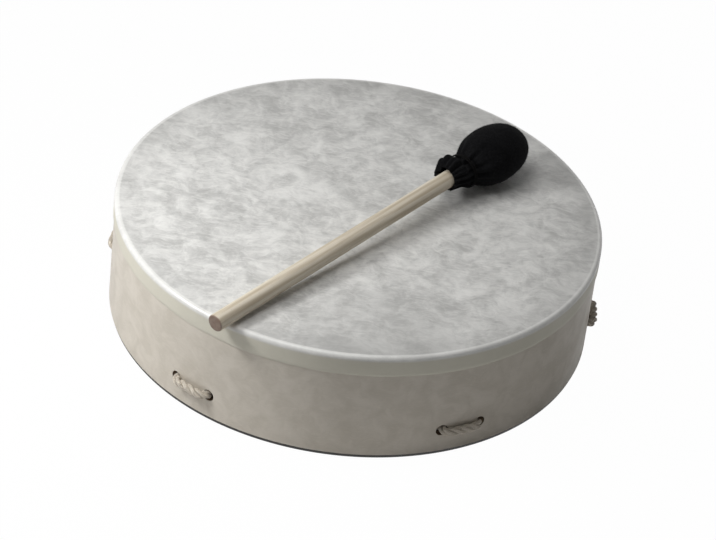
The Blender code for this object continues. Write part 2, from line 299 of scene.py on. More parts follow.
def spinProfile(shape, profile, steps, closed=True):
    points, edges = addProfile(shape, profile, closed)
    bmesh.ops.spin(shape, geom=points + edges, cent=(0, 0, 0), axis=(0, 0, 1), angle=fullTurn,
                   steps=steps, use_merge=True, use_duplicate=False)
    bmesh.ops.remove_doubles(shape, verts=shape.verts, dist=merge)
    bmesh.ops.recalc_face_normals(shape, faces=shape.faces)


def arc(centre, radius, start, end, count):
    angles = [math.radians(start + (end - start) * i / count) for i in range(count + 1)]
    return [(centre[0] + radius * math.cos(a), centre[1] + radius * math.sin(a)) for a in angles]


def rows(first, last, count):
    return [(first[0] + (last[0] - first[0]) * i / count, first[1] + (last[1] - first[1]) * i / count)
            for i in range(1, count)]


def polar(radius, azimuth, height, drift=0.0):
    c = math.cos(azimuth)
    s = math.sin(azimuth)
    return Vector((radius * c - drift * s, radius * s + drift * c, height))


def ease(value):
    value = min(max(value, 0.0), 1.0)
    return value * value * (3 - 2 * value)


# camera, fitted to the outline of the drum and the front edge of its head

view = {
    "turn": math.radians(2.56),
    "rise": math.radians(35.23),
    "distance": 2.293,
    "pan": math.radians(-0.105),    # the lens points a little past the drum's middle, to its right
    "tilt": math.radians(-0.197),   # and below it
    "roll": math.radians(-6.93),
    "sensor": 36.0,
    "lens": 157.0,
}


def viewPlace():
    a = view["turn"]
    e = view["rise"]
    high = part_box("drumhead")[1]
    toward = Vector((-math.sin(a) * math.cos(e), math.cos(a) * math.cos(e), -math.sin(e)))
    right = toward.cross(Vector((0, 0, 1))).normalized()
    up = right.cross(toward)
    place = Vector((0, 0, high.z / 2)) - toward * view["distance"]
    sweep = Matrix.Rotation(view["pan"], 3, up)
    right = sweep @ right
    ahead = Matrix.Rotation(view["tilt"], 3, right) @ sweep @ toward
    right = Matrix.Rotation(view["roll"], 3, ahead) @ right
    return place, right, right.cross(ahead), ahead


def addCamera():
    place, right, up, ahead = viewPlace()
    data = bpy.data.cameras.new("photoCamera")
    data.sensor_width = view["sensor"]
    data.lens = view["lens"]
    camera = linkObject("photoCamera", data)
    camera.matrix_world = Matrix.Translation(place) @ Matrix((right, up, -ahead)).transposed().to_4x4()
    bpy.context.scene.camera = camera


addCamera()
print("camera set")


# studio: a soft box on the left, a wide one overhead, a weak one in front, one behind that only reaches
# the shell's back, an even dome, a pale floor

studio = {
    # azimuth, rise, distance from the head, size, power
    "sideBox": (math.radians(206), math.radians(34.5), 0.55, 0.12, 1.76),
    "topBox": (math.radians(212), math.radians(77), 0.70, 0.42, 2.02),
    "frontBox": (math.radians(292), math.radians(16), 1.50, 0.90, 0.70),
    "backBox": (math.radians(70), math.radians(-1.5), 1.50, 0.08, 3.6),
    "domeLevel": 0.085,
    "white": tone(1, 1, 1),
    "floorSize": 12.0,
    "floorDrop": 0.0003,    # just under the open edge
    "footprint": 0.168,     # inside it the floor doesn't glow, so the rope holes stay dark
    "floorTone": tone(0.90, 0.90, 0.90),
    "floorGlow": 0.985,
}


def seenDirectly(tree):
    path = addNode(tree, "ShaderNodeLightPath").outputs
    seen = calc(tree, "MAXIMUM", path["Is Camera Ray"], path["Is Glossy Ray"])
    return calc(tree, "MAXIMUM", seen, path["Is Transmission Ray"])


def addStudio():
    scene = bpy.context.scene
    scene.view_settings.view_transform = "Standard"
    world = bpy.data.worlds.new("studio")
    scene.world = world
    world.use_nodes = True
    tree = world.node_tree
    tree.nodes.clear()
    dome, white = (addNode(tree, "ShaderNodeBackground", {"Color": studio["white"], "Strength": level})
                   for level in (studio["domeLevel"], 1.0))
    both = mixShader(tree, seenDirectly(tree), dome, white)
    addNode(tree, "ShaderNodeOutputWorld", {0: both.outputs[0]})
    for name in ("sideBox", "topBox", "frontBox", "backBox"):
        addLamp(name, *studio[name])


def addLamp(name, azimuth, rise, distance, size, power):
    data = bpy.data.lights.new(name, "AREA")
    data.size = size
    data.energy = power
    lamp = linkObject(name, data)
    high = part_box("drumhead")[1]
    direction = polar(math.cos(rise), azimuth, math.sin(rise))
    lamp.location = Vector((0, 0, high.z)) + direction * distance
    lamp.rotation_euler = direction.to_track_quat("Z", "Y").to_euler()
    lamp.visible_camera = False
    lamp.visible_glossy = rise > 0    # the low one leaves no glint on the rim


def addFloor():
    shape = bmesh.new()
    bmesh.ops.create_grid(shape, x_segments=1, y_segments=1, size=studio["floorSize"] / 2)
    bmesh.ops.translate(shape, vec=(0, 0, -studio["floorDrop"]), verts=shape.verts)
    paper = bpy.data.materials.new("palePaper")
    paper.use_nodes = True
    tree = paper.node_tree
    tree.nodes.clear()
    lit = addNode(tree, "ShaderNodeBsdfDiffuse", {"Color": studio["floorTone"]})
    glow = addNode(tree, "ShaderNodeEmission", {"Color": studio["white"], "Strength": 1.0})
    place = addNode(tree, "ShaderNodeTexCoord").outputs["Object"]
    away = vectorCalc(tree, "LENGTH", {0: place})["Value"]
    outside = calc(tree, "GREATER_THAN", away, studio["footprint"])
    shown = mixShader(tree, calc(tree, "MULTIPLY", outside, studio["floorGlow"]), lit, glow)
    both = mixShader(tree, seenDirectly(tree), lit, shown)
    # clear from below, so the open back can be looked into
    under = addNode(tree, "ShaderNodeNewGeometry").outputs["Backfacing"]
    sided = mixShader(tree, under, both, addNode(tree, "ShaderNodeBsdfTransparent"))
    addNode(tree, "ShaderNodeOutputMaterial", {0: sided.outputs[0]})
    addPiece("studioFloor", shapeToMesh("studioFloor", shape), paper)


addStudio()
addFloor()
print("studio set")


# drum body: outer sizes come from the solids

headLow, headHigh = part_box("drumhead")
wrapLow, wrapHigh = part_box("shell_wrap")
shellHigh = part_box("shell")[1]
drum = {
    "radius": headHigh.x,
    "top": headHigh.z,
    "collarFoot": headLow.z,
    "wrapOuter": wrapHigh.x,
    "wrapFoot": wrapLow.z,
    "wrapTop": wrapHigh.z,
    "shellOuter": shellHigh.x,
    "shellTop": shellHigh.z,
    "wall": 0.0064,
    "holeHeight": 0.0213,
    "holeRadius": 0.0045,
    "holeSpacing": 0.0295,
    "stitches": 6,
    "front": math.radians(-90),
    "frontGap": math.radians(65.1),
    "rightGap": math.radians(60.3),
    "leftGap": math.radians(63.0),
    "steps": 320,
}
drum["shellInner"] = drum["shellOuter"] - drum["wall"]


def holeAzimuths():
    half = drum["holeSpacing"] / 2 / drum["wrapOuter"]
    first = drum["front"] + drum["frontGap"] / 2
    last = drum["front"] - drum["frontGap"] / 2 + fullTurn
    count = drum["stitches"] - 3
    step = (fullTurn - drum["frontGap"] - drum["rightGap"] - drum["leftGap"]) / count
    middles = [first, *(first + drum["rightGap"] + step * i for i in range(count + 1)), last]
    return [middle + side * half for middle in middles for side in (-1, 1)]


holes = holeAzimuths()


# head: fibre film drawn over the bearing edge, its collar cut by hand

head = {
    "film": 0.0005,
    "bend": 0.0028,
    "feather": 0.0022,
    "edgeWander": 0.00035,
    "wanderScale": 32,
    "patchScale": 46.0,
    "fibreScale": 620.0,
    "wispScale": 210.0,
    "broadScale": 15.0,
    "wearSize": 14.0,
    "deepTone": tone(0.445, 0.441, 0.426),
    "paleTone": tone(0.800, 0.794, 0.768),
    "fibreTone": tone(0.920, 0.914, 0.884),
    "speckTone": tone(0.42, 0.41, 0.39),
    "collarTone": tone(0.640, 0.610, 0.500),   # the wrap shows through the film
    "shadeTone": tone(0.350, 0.347, 0.335),
    "rimRun": 0.0015,
    "ringRun": 0.030,
    "ringShade": 0.26,
    # centre of the painted shade near the front of the head
    "blot": (0.030, -0.150, 0.0),
    "paintedShadeRun": (0.020, 0.080),
    "paintedShadeDepth": 0.36,
    "collarRun": (0.0046, 0.0020),   # below the top
    "roughness": 0.50,
    "rimRoughness": 0.30,
    "specular": 0.50,
    "collarSpecular": 0.15,
}


def headMaterial():
    made, tree, shader, coords = newMaterial("fibreFilm", head["roughness"])
    # the pattern runs on over the rim and down the collar
    parts = addNode(tree, "ShaderNodeSeparateXYZ", {0: coords["Object"]}).outputs
    flat = addNode(tree, "ShaderNodeCombineXYZ", {0: parts[0], 1: parts[1]}).outputs[0]
    out = vectorCalc(tree, "LENGTH", {0: flat})["Value"]
    drop = calc(tree, "MAXIMUM", calc(tree, "SUBTRACT", drum["top"] - head["film"], parts[2]), 0.0)
    stretch = calc(tree, "ADD", calc(tree, "DIVIDE", drop, out), 1.0)
    spread = vectorCalc(tree, "SCALE", {0: flat, "Scale": stretch})[0]
    fibre = layFibre(tree, spread, head["patchScale"], head["fibreScale"])
    wisp = layFibre(tree, spread, head["patchScale"] * 3, head["wispScale"])
    wear = addWear(tree, spread, head["wearSize"])
    broad = clouds(tree, spread, head["broadScale"], 3.0, 0.5, 0.3)
    mass = weigh(tree, (fibre["Patches"], 0.50), (broad, 0.22), (wisp["Patches"], 0.28))
    colour = blendTone(tree, remap(tree, mass, 0.36, 0.64), head["deepTone"], head["paleTone"])
    colour = stain(tree, colour, wisp["Fibres"], 0.28, head["fibreTone"])
    colour = stain(tree, colour, fibre["Fibres"], 0.32, head["fibreTone"])
    colour = stain(tree, colour, wear["Specks"], 0.20, head["speckTone"])
    # painted shade: darker towards the rim, and darker still around a spot near the front of the head
    edge = drum["radius"] - head["bend"]
    rim = remap(tree, out, edge - head["rimRun"], edge)
    flatPart = calc(tree, "SUBTRACT", 1.0, rim)
    ring = remap(tree, out, edge - head["ringRun"], edge, 0.0, head["ringShade"])
    away = vectorCalc(tree, "DISTANCE", {0: flat, 1: head["blot"]})["Value"]
    shade = calc(tree, "ADD", ring, remap(tree, away, *head["paintedShadeRun"], head["paintedShadeDepth"], 0.0))
    shade = calc(tree, "MULTIPLY", shade, remap(tree, broad, 0.35, 0.65, 1.2, 0.8))
    colour = stain(tree, colour, shade, flatPart, head["shadeTone"])
    # painted highlight: the bend over the bearing edge is painted paler
    colour = stain(tree, colour, rim, 0.6, head["paleTone"])
    low, high = (drum["top"] - run for run in head["collarRun"])
    collar = remap(tree, parts[2], low, high, 1.0, 0.0)
    colour = stain(tree, colour, collar, 0.80, head["collarTone"])
    gloss = remap(tree, fibre["Patches"], 0.3, 0.7, head["roughness"] - 0.06, head["roughness"] + 0.10)
    # drawn tight and handled, the bend is smoother
    polished = calc(tree, "MULTIPLY", rim, calc(tree, "SUBTRACT", 1.0, collar))
    feed(tree, shader, {
        "Base Color": colour,
        "Roughness": mixValue(tree, polished, gloss, head["rimRoughness"]),
        "Specular IOR Level": mixValue(tree, collar, head["specular"], head["collarSpecular"]),
    })
    height = calc(tree, "ADD", fibre["Fibres"], calc(tree, "MULTIPLY", fibre["Patches"], 0.6))
    setRelief(tree, shader, calc(tree, "MULTIPLY", height, flatPart), 0.25, 0.0003)
    return made


def makeHead():
    film = head["film"]
    corner = head["bend"]
    feather = head["feather"]
    radius = drum["radius"]
    top = drum["top"]
    foot = drum["collarFoot"]
    bend = (radius - corner, top - corner)
    profile = [(0.0, top), *rows((0.0, top), (bend[0], top), 10)]
    profile += arc(bend, corner, 90, 0, 8)
    profile += rows((radius, bend[1]), (radius, foot + feather), 6)
    profile += [(radius, foot + feather), (radius - 0.35 * film, foot + feather / 3)]
    profile += [(radius - 0.75 * film, foot), (radius - film, foot)]
    profile += rows((radius - film, foot), (radius - film, bend[1]), 4)
    profile += arc(bend, corner - film, 0, 90, 8)
    profile += rows((bend[0], top - film), (0.0, top - film), 6)
    profile += [(0.0, top - film)]
    shape = bmesh.new()
    spinProfile(shape, profile, drum["steps"], closed=False)
    reach = top - corner - foot
    for point in shape.verts:
        low = (bend[1] - point.co.z) / reach
        if low > 0.0:
            around = Vector((point.co.x, point.co.y, 0.0)) * head["wanderScale"]
            wander = noise.noise(around) + 0.5 * noise.noise(around * 3)
            point.co.z += ease(low) * head["edgeWander"] * wander
    piece = addPiece("headFilm", shapeToMesh("headFilm", shape), headMaterial())
    placePiece(piece, "drum", "head_film", "drumhead")


makeHead()
print("head made")


# drills for the rope holes, flared where the hand would ease the edge

drill = {
    "beyond": 0.006,
    "straightTo": 0.0016,   # from the shell's inside
    "kneeAt": 0.0006,
    "kneeShare": 0.35,
    "past": 0.0001,
    "steps": 40,
}


def addDrills(name, flare):
    inner = drum["shellInner"]
    outer = drum["wrapOuter"] + drill["beyond"]
    size = drum["holeRadius"]
    wide = size + flare
    profile = [(0.0, outer), (size, outer), (size, inner + drill["straightTo"])]
    profile += [(size + drill["kneeShare"] * flare, inner + drill["kneeAt"]), (wide, inner - drill["past"])]
    profile += [(wide, inner - drill["beyond"]), (0.0, inner - drill["beyond"])]
    raised = Matrix.Translation((0, 0, drum["holeHeight"]))
    shape = bmesh.new()
    for azimuth in holes:
        made = bmesh.new()
        spinProfile(made, profile, drill["steps"], closed=False)
        turn = polar(1.0, azimuth, 0.0).to_track_quat("Z", "Y").to_matrix().to_4x4()
        bmesh.ops.transform(made, matrix=raised @ turn, verts=made.verts)
        single = shapeToMesh(name, made)
        shape.from_mesh(single)
        bpy.data.meshes.remove(single)
    return linkObject(name, shapeToMesh(name, shape))


def drillMesh(mesh, flare):
    drills = addDrills("drills", flare)
    blank = linkObject("blank", mesh)
    cut = blank.modifiers.new("holes", "BOOLEAN")
    cut.operation = "DIFFERENCE"
    cut.solver = "EXACT"
    cut.object = drills
    drilled = bakedMesh(blank)
    tool = drills.data
    bpy.data.objects.remove(blank, do_unlink=True)
    bpy.data.objects.remove(drills, do_unlink=True)
    bpy.data.meshes.remove(tool)
    drilled.name = mesh.name
    smoothMesh(drilled, crease)
    return drilled


# wrap: one strip of film round the shell, lapped at the back

wrap = {
    "film": 0.00045,
    "rows": 16,
    "lap": 0.010,
    "lapLift": 0.0005,
    "lapRun": 0.035,
    "heldRun": 0.003,    # the collar holds the lap down
    "seam": math.radians(90),
    "patchScale": 60.0,
    "fibreScale": 700.0,
    "wearSize": 18.0,
    "grimeRun": 0.012,
    "deepTone": tone(0.600, 0.553, 0.478),
    "paleTone": tone(0.685, 0.635, 0.560),
    "fibreTone": tone(0.745, 0.695, 0.624),
    "grimeTone": tone(0.330, 0.300, 0.245),
    "roughness": 0.44,
    "specular": 0.05,
}


def wrapMaterial():
    made, tree, shader, coords = newMaterial("wrapFilm", wrap["roughness"])
    height, unrolled = unroll(tree, coords["Object"], drum["wrapOuter"])
    fibre = layFibre(tree, unrolled, wrap["patchScale"], wrap["fibreScale"])
    wear = addWear(tree, coords["Object"], wrap["wearSize"])
    colour = blendTone(tree, remap(tree, fibre["Patches"], 0.32, 0.68), wrap["deepTone"], wrap["paleTone"])
    colour = stain(tree, colour, fibre["Fibres"], 0.30, wrap["fibreTone"])
    # handled most along the open edge
    edge = remap(tree, height, drum["wrapFoot"], drum["wrapFoot"] + wrap["grimeRun"], 1.0, 0.0)
    handled = calc(tree, "ADD", calc(tree, "MULTIPLY", edge, 0.6), 0.12)
    colour = stain(tree, colour, calc(tree, "MULTIPLY", handled, wear["Smudge"]), 0.5, wrap["grimeTone"])
    gloss = remap(tree, wear["Smudge"], 0.0, 1.0, wrap["roughness"] - 0.04, wrap["roughness"] + 0.12)
    feed(tree, shader, {"Base Color": colour, "Roughness": gloss, "Specular IOR Level": wrap["specular"]})
    setRelief(tree, shader, calc(tree, "ADD", fibre["Fibres"], fibre["Patches"]), 0.12, 0.0002)
    return made


def makeWrap():
    outer = drum["wrapOuter"]
    inner = outer - wrap["film"]
    foot = drum["wrapFoot"]
    top = drum["wrapTop"]
    profile = [(outer, top), *rows((outer, top), (outer, foot), wrap["rows"]), (outer, foot)]
    profile += [(inner, foot), *rows((inner, foot), (inner, top), wrap["rows"]), (inner, top)]
    shape = bmesh.new()
    points, edges = addProfile(shape, profile, True)
    whole = fullTurn + wrap["lap"] / outer
    bmesh.ops.rotate(shape, cent=(0, 0, 0), matrix=Matrix.Rotation(wrap["seam"], 3, "Z"), verts=points)
    rings = [points]
    loops = [edges]
    step = Matrix.Rotation(whole / drum["steps"], 3, "Z")
    for i in range(drum["steps"]):
        made = bmesh.ops.extrude_edge_only(shape, edges=loops[-1])["geom"]
        rings.append([item for item in made if isinstance(item, bmesh.types.BMVert)])
        fresh = set(rings[-1])
        loops.append([item for item in made if isinstance(item, bmesh.types.BMEdge)
                      and item.verts[0] in fresh and item.verts[1] in fresh])
        bmesh.ops.rotate(shape, cent=(0, 0, 0), matrix=step, verts=rings[-1])
    for loop in (loops[0], loops[-1]):
        bmesh.ops.edgeloop_fill(shape, edges=loop)
    run = wrap["lapRun"] / outer
    for i, ring in enumerate(rings):
        swept = whole * i / drum["steps"]
        lift = wrap["lapLift"] * ease((swept - (whole - wrap["lap"] / outer - run)) / run)
        for point in ring:
            under = ease((drum["collarFoot"] - point.co.z) / wrap["heldRun"])
            share = 1 + lift * under / outer
            point.co.x *= share
            point.co.y *= share
    bmesh.ops.recalc_face_normals(shape, faces=shape.faces)
    piece = addPiece("wrapFilm", drillMesh(shapeToMesh("wrapFilm", shape), 0.0), wrapMaterial())
    placePiece(piece, "drum", "wrap_film", "shell_wrap")


makeWrap()
print("wrap made")


# shell: a ring of pressed fibre, its lowest few millimetres painted near-black as painted contact shade at
# the base

shell = {
    "bearingChamfer": 0.0030,
    "bearingRound": 0.0030,
    "edgeRound": 0.0010,
    "holeFlare": 0.0009,
    "patchScale": 110.0,
    "fibreScale": 900.0,
    "plyScale": 55.0,
    "wearSize": 25.0,
    "deepTone": tone(0.165, 0.112, 0.070),
    "paleTone": tone(0.330, 0.240, 0.158),
    "fleckTone": tone(0.520, 0.420, 0.300),
    "baseShadeTone": tone(0.018, 0.016, 0.014),
    "baseShadeHeight": 0.0044,
    "baseShadeRun": 0.0009,
    "baseShadeWander": 0.0012,
    "roughness": 0.72,
    "baseBandRoughness": 0.5,
}


def shellMaterial():
    made, tree, shader, coords = newMaterial("pressedFibre", shell["roughness"])
    height, unrolled = unroll(tree, coords["Object"], drum["shellInner"])
    fibre = layFibre(tree, unrolled, shell["patchScale"], shell["fibreScale"])
    wear = addWear(tree, coords["Object"], shell["wearSize"])
    plies = addNode(tree, "ShaderNodeTexWave", {
        "Vector": unrolled, "Scale": shell["plyScale"], "Distortion": 3.0, "Detail": 2.0,
        "Detail Scale": 1.0}, bands_direction="Y").outputs["Fac"]
    mass = weigh(tree, (fibre["Patches"], 0.8), (plies, 0.2))
    colour = blendTone(tree, remap(tree, mass, 0.3, 0.75), shell["deepTone"], shell["paleTone"])
    colour = stain(tree, colour, fibre["Fibres"], 0.35, shell["fleckTone"])
    colour = stain(tree, colour, wear["Smudge"], 0.35, shell["deepTone"])
    # painted shade: the lowest few millimetres, inside and out, go near-black, with an uneven upper edge
    uneven = calc(tree, "ADD", height, calc(tree, "MULTIPLY", fibre["Patches"], shell["baseShadeWander"]))
    baseShade = remap(tree, uneven, shell["baseShadeHeight"], shell["baseShadeHeight"] + shell["baseShadeRun"], 1.0, 0.0)
    feed(tree, shader, {
        "Base Color": blendTone(tree, baseShade, colour, shell["baseShadeTone"]),
        "Roughness": remap(tree, baseShade, 0.0, 1.0, shell["roughness"], shell["baseBandRoughness"]),
    })
    setRelief(tree, shader, calc(tree, "ADD", fibre["Fibres"], mass), 0.35, 0.0003)
    return made


def makeShell():
    inner = drum["shellInner"]
    outer = drum["shellOuter"]
    top = drum["shellTop"]
    edge = shell["edgeRound"]
    bearing = shell["bearingRound"]
    chamfer = shell["bearingChamfer"]
    profile = arc((outer - bearing, top - bearing), bearing, 90, 0, 5)
    profile += rows((outer, top - bearing), (outer, edge), 6)
    profile += arc((outer - edge, edge), edge, 0, -90, 4)
    profile += arc((inner + edge, edge), edge, -90, -180, 4)
    profile += rows((inner, edge), (inner, top - chamfer), 14)
    profile += arc((inner + chamfer, top - chamfer), chamfer, 180, 90, 5)
    shape = bmesh.new()
    spinProfile(shape, profile, drum["steps"])
    drilled = drillMesh(shapeToMesh("shellRing", shape), shell["holeFlare"])
    piece = addPiece("shellRing", drilled, shellMaterial())
    placePiece(piece, "drum", "shell_fibre", "shell")


makeShell()
print("shell made")


# rope: three strands laid together, laced from the shell to a spliced ring

rope = {
    "diameter": 0.0064,
    "lay": 0.0200,
    "strands": 3,
    "press": 1.04,       # strands are fuller than round ones that only touch
    "step": 0.0012,
    "bend": 0.0050,
    "bendSteps": 8,
    "spanSteps": 8,
    "bightSteps": 24,
    "pull": 0.0010,
    "seatGap": 0.0003,
    "turnGap": 0.0005,
    "gripRadius": 0.0280,
    "gripThickness": 0.0080,
    "gripTurns": 8,
    "gripSteps": 180,
    "bindSetback": 0.0160,
    "bindOverlap": 0.0400,
    "yarnPitch": 0.0048,
    "yarns": 5.0,
    "fuzzScale": 2600.0,
    "wearSize": 40.0,
    "deepTone": tone(0.480, 0.390, 0.290),
    "paleTone": tone(0.900, 0.820, 0.700),
    "grimeTone": tone(0.450, 0.390, 0.300),
    "roughness": 0.85,
    "sheen": 0.15,
}
rope["reach"] = (rope["gripThickness"] + rope["diameter"]) / 2 + rope["turnGap"]
rope["pitch"] = rope["diameter"] + rope["turnGap"]
innerLeg = drum["shellInner"] - rope["diameter"] / 2


def stitchPoints(first, second):
    height = drum["holeHeight"]
    bend = rope["bend"]
    steps = rope["bendSteps"]
    spans = rope["spanSteps"]
    outside = drum["wrapOuter"] + rope["seatGap"] + rope["diameter"] / 2
    quarter = [math.pi / 2 * i / steps for i in range(steps + 1)]
    # drawn tight, the rope lies against the near edges of its two holes
    first += rope["pull"] / outside
    second -= rope["pull"] / outside
    lean = math.atan2(bend, outside)
    run = second - first - 2 * lean

    def corner(azimuth, angle, way):
        away = outside - bend + bend * math.sin(angle)
        return polar(away, azimuth, height, way * bend * (1 - math.cos(angle)))

    places = [polar(innerLeg, first, height)]
    places += [corner(first, angle, 1) for angle in quarter]
    places += [polar(outside, first + lean + run * i / spans, height) for i in range(1, spans)]
    places += [corner(second, angle, -1) for angle in reversed(quarter)]
    return places + [polar(innerLeg, second, height)]


def bightPoints(before, after):
    middle = (before + after) / 2
    spread = (after - before) / 2
    reach = rope["reach"]
    steps = rope["bightSteps"]
    halfTurn = math.pi * reach / 2
    slope = innerLeg * math.sin(spread) / (innerLeg * math.cos(spread) - rope["gripRadius"] + halfTurn)
    places = []
    for i in range(steps + 1):
        angle = math.pi * i / steps
        radius = rope["gripRadius"] - reach * math.sin(angle)
        height = drum["holeHeight"] + reach * math.cos(angle)
        places.append(polar(radius, middle, height, halfTurn * slope * (2 * i / steps - 1)))
    return places


def bindLine():
    start = bightPoints(holes[-1] - fullTurn, holes[0])[-1]
    along = (polar(innerLeg, holes[0], drum["holeHeight"]) - start).normalized()
    upward = Vector((0, 0, 1))
    return start, along, (upward - along * along.z).normalized()


def lacingRoute():
    start, along, upward = bindLine()
    upper = start + upward * rope["pitch"]
    bindEnd = rope["bindSetback"] + rope["bindOverlap"]
    route = [upper + along * rope["bindSetback"], upper + along * (bindEnd + rope["diameter"])]
    for i in range(drum["stitches"]):
        route += stitchPoints(holes[2 * i], holes[2 * i + 1])
        if i < drum["stitches"] - 1:
            route += bightPoints(holes[2 * i + 1], holes[2 * i + 2])
    route += bightPoints(holes[-1] - fullTurn, holes[0])
    return route + [start + along * bindEnd]


def evenPoints(route, step):
    lengths = [0.0]
    for first, second in zip(route, route[1:]):
        lengths.append(lengths[-1] + (second - first).length)
    count = round(lengths[-1] / step)
    places = []
    leg = 0
    for i in range(count + 1):
        at = lengths[-1] * i / count
        while leg < len(route) - 2 and lengths[leg + 1] < at:
            leg += 1
        span = max(lengths[leg + 1] - lengths[leg], tiny)
        places.append(route[leg].lerp(route[leg + 1], min((at - lengths[leg]) / span, 1.0)))
    return places, lengths[-1]


# strands wound round a path, on a frame that is carried along without twist
def layStrands(path, lay, reach, count, closed=False):
    total = len(path)
    lines = [[] for strand in range(count)]
    side = Vector((0.31, 0.17, 1.0))
    travelled = 0.0
    for i, place in enumerate(path):
        after = path[(i + 1) % total] if closed else path[min(i + 1, total - 1)]
        before = path[i - 1] if closed else path[max(i - 1, 0)]
        along = (after - before).normalized()
        side = (side - along * side.dot(along)).normalized()
        across = along.cross(side)
        for strand in range(count):
            angle = fullTurn * (travelled / lay + strand / count)
            lines[strand].append(place + (side * math.cos(angle) + across * math.sin(angle)) * reach)
        travelled += (after - place).length
    return lines


def strandMesh(name, lines, thickness, resolution, closed=False):
    curve = bpy.data.curves.new(name, "CURVE")
    curve.dimensions = "3D"
    curve.bevel_depth = thickness / 2
    curve.bevel_resolution = resolution
    curve.use_fill_caps = not closed
    for line in lines:
        spline = curve.splines.new("POLY")
        spline.points.add(len(line) - 1)
        spline.points.foreach_set("co", [value for place in line for value in (*place, 1.0)])
        spline.use_cyclic_u = closed
        spline.use_smooth = True
    holder = linkObject(name, curve)
    mesh = bakedMesh(holder)
    bpy.data.objects.remove(holder, do_unlink=True)
    bpy.data.curves.remove(curve)
    mesh.name = name
    smoothMesh(mesh, strandCrease)
    return mesh


def ropeMaterial(name, length):
    made, tree, shader, coords = newMaterial(name, rope["roughness"])
    ridge = twistYarns(tree, coords, rope["yarns"], -round(length / rope["yarnPitch"]))
    wear = addWear(tree, coords["Object"], rope["wearSize"])
    # painted shade: darker in the grooves between yarns and paler on their crests; the fuzz adds tone at
    # random
    mass = weigh(tree, (ridge, 0.8), (clouds(tree, coords["Object"], rope["fuzzScale"], 2.0, 0.6), 0.35))
    colour = blendTone(tree, remap(tree, mass, 0.10, 0.75), rope["deepTone"], rope["paleTone"])
    colour = stain(tree, colour, wear["Smudge"], 0.30, rope["grimeTone"])
    feed(tree, shader, {"Base Color": colour, "Sheen Weight": rope["sheen"]})
    setRelief(tree, shader, mass, 0.8, 0.0004)
    return made


def addRope(name, path, length, lay, diameter, resolution, node, closed=False):
    thick = diameter / (1 + 2 / math.sqrt(3))
    lines = layStrands(path, lay, (diameter - thick) / 2, rope["strands"], closed)
    mesh = strandMesh(name, lines, thick * rope["press"], resolution, closed)
    piece = addPiece(name, mesh, ropeMaterial(name, length))
    placePiece(piece, "drum", "rope", node)


def makeLacing():
    path, length = evenPoints(lacingRoute(), rope["step"])
    addRope("laceRope", path, length, rope["lay"], rope["diameter"], 2, "rope_lacing")
    print("lacing made,", round(length, 3), "m of rope")


def makeGripRing():
    count = rope["gripSteps"]
    path = [polar(rope["gripRadius"], fullTurn * i / count, drum["holeHeight"]) for i in range(count)]
    length = fullTurn * rope["gripRadius"]
    lay = sum((path[i] - path[i - 1]).length for i in range(count)) / rope["gripTurns"]
    addRope("gripRope", path, length, lay, rope["gripThickness"], 3, "grip_ring", closed=True)
    print("grip ring made")


# twine: binds the two ends of the rope side by side

twine = {
    "diameter": 0.0018,
    "loops": 7,
    "loopPoints": 64,
    "step": 0.0006,
    "lay": 0.0050,
    "yarnPitch": 0.0016,
    "deepTone": tone(0.200, 0.140, 0.085),
    "paleTone": tone(0.560, 0.450, 0.320),
    "roughness": 0.8,
    "specular": 0.30,
}
twine["pitch"] = twine["diameter"] + rope["turnGap"]
twine["reach"] = (rope["diameter"] + twine["diameter"]) / 2 + rope["seatGap"]

# what twine and tie share: two strands of a few yarns
cord = {"strands": 2, "press": 1.12, "yarns": 3.0, "fuzzScale": 4200.0}


def cordMaterial(name, settings, length):
    made, tree, shader, coords = newMaterial(name, settings["roughness"])
    ridge = twistYarns(tree, coords, cord["yarns"], -round(length / settings["yarnPitch"]))
    # painted shade: darker in the grooves between yarns and paler on their crests; the fuzz adds tone at
    # random
    mass = weigh(tree, (ridge, 0.75), (clouds(tree, coords["Object"], cord["fuzzScale"], 2.0, 0.6), 0.4))
    colour = blendTone(tree, remap(tree, mass, 0.15, 0.85), settings["deepTone"], settings["paleTone"])
    feed(tree, shader, {"Base Color": colour, "Specular IOR Level": settings["specular"]})
    setRelief(tree, shader, mass, 0.7, 0.0002)
    return made


def addCord(name, settings, route, carry=None):
    path, length = evenPoints(route, settings["step"])
    thick = settings["diameter"] / 2
    lines = layStrands(path, settings["lay"], thick / 2, cord["strands"])
    if carry:
        lines = [[carry(place) for place in line] for line in lines]
    mesh = strandMesh(name, lines, thick * cord["press"], 1)
    return addPiece(name, mesh, cordMaterial(name, settings, length))


def makeTwine():
    start, along, upward = bindLine()
    aside = along.cross(upward)
    first = rope["bindSetback"] + (rope["bindOverlap"] - twine["loops"] * twine["pitch"]) / 2
    half = twine["loopPoints"] // 2
    route = []
    for i in range(twine["loops"] * twine["loopPoints"]):
        lower, step = divmod(i % twine["loopPoints"], half)
        angle = math.pi * (lower + step / (half - 1))
        middle = start + along * (first + twine["pitch"] * i / twine["loopPoints"])
        if not lower:
            middle = middle + upward * rope["pitch"]
        route.append(middle + (aside * math.cos(angle) + upward * math.sin(angle)) * twine["reach"])
    slant = along * twine["pitch"] / twine["loopPoints"]
    route.insert(0, route[0] - upward * twine["diameter"] - slant)
    route.append(route[-1] + upward * twine["diameter"] + slant)
    placePiece(addCord("bindTwine", twine, route), "drum", "twine", "lacing_twine")
    print("twine made")


makeLacing()
makeGripRing()
makeTwine()


# mallet: made upright from the butt of its stick, then laid on the rim and the head

